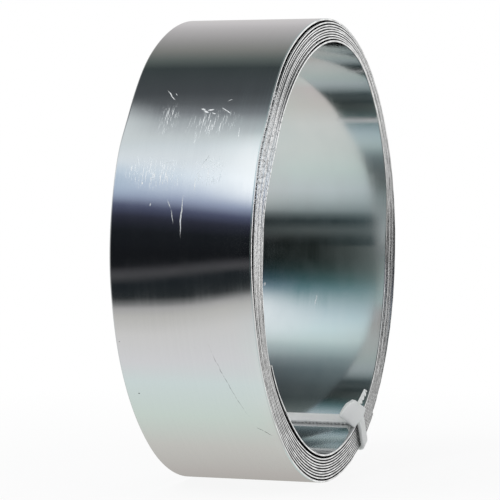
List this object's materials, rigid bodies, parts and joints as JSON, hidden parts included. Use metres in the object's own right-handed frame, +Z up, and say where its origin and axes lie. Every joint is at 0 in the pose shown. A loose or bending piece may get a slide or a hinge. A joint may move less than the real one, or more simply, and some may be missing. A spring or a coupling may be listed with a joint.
{
  "type": "flat wire coil",
  "caption": "Coil of bright flat aluminium strip, tightly wound with an open bore, held by one white nylon cable tie and standing on its rim.",
  "frame": {"origin": "on the floor line, straight below the coil's axis, midway across the width of the strip", "axes": "+X along the coil's axis towards the end where the tie's head and tail are, +Z up, +Y towards the side of the coil where the tie is"},
  "size_m": [0.0563, 0.164, 0.164],
  "materials": {
    "aluminium": "bright rolled",
    "nylon": "natural white, slightly translucent"
  },
  "bodies": {
    "root": {"strip_coil": "aluminium", "cable_tie": "nylon"}
  },
  "joints": []
}
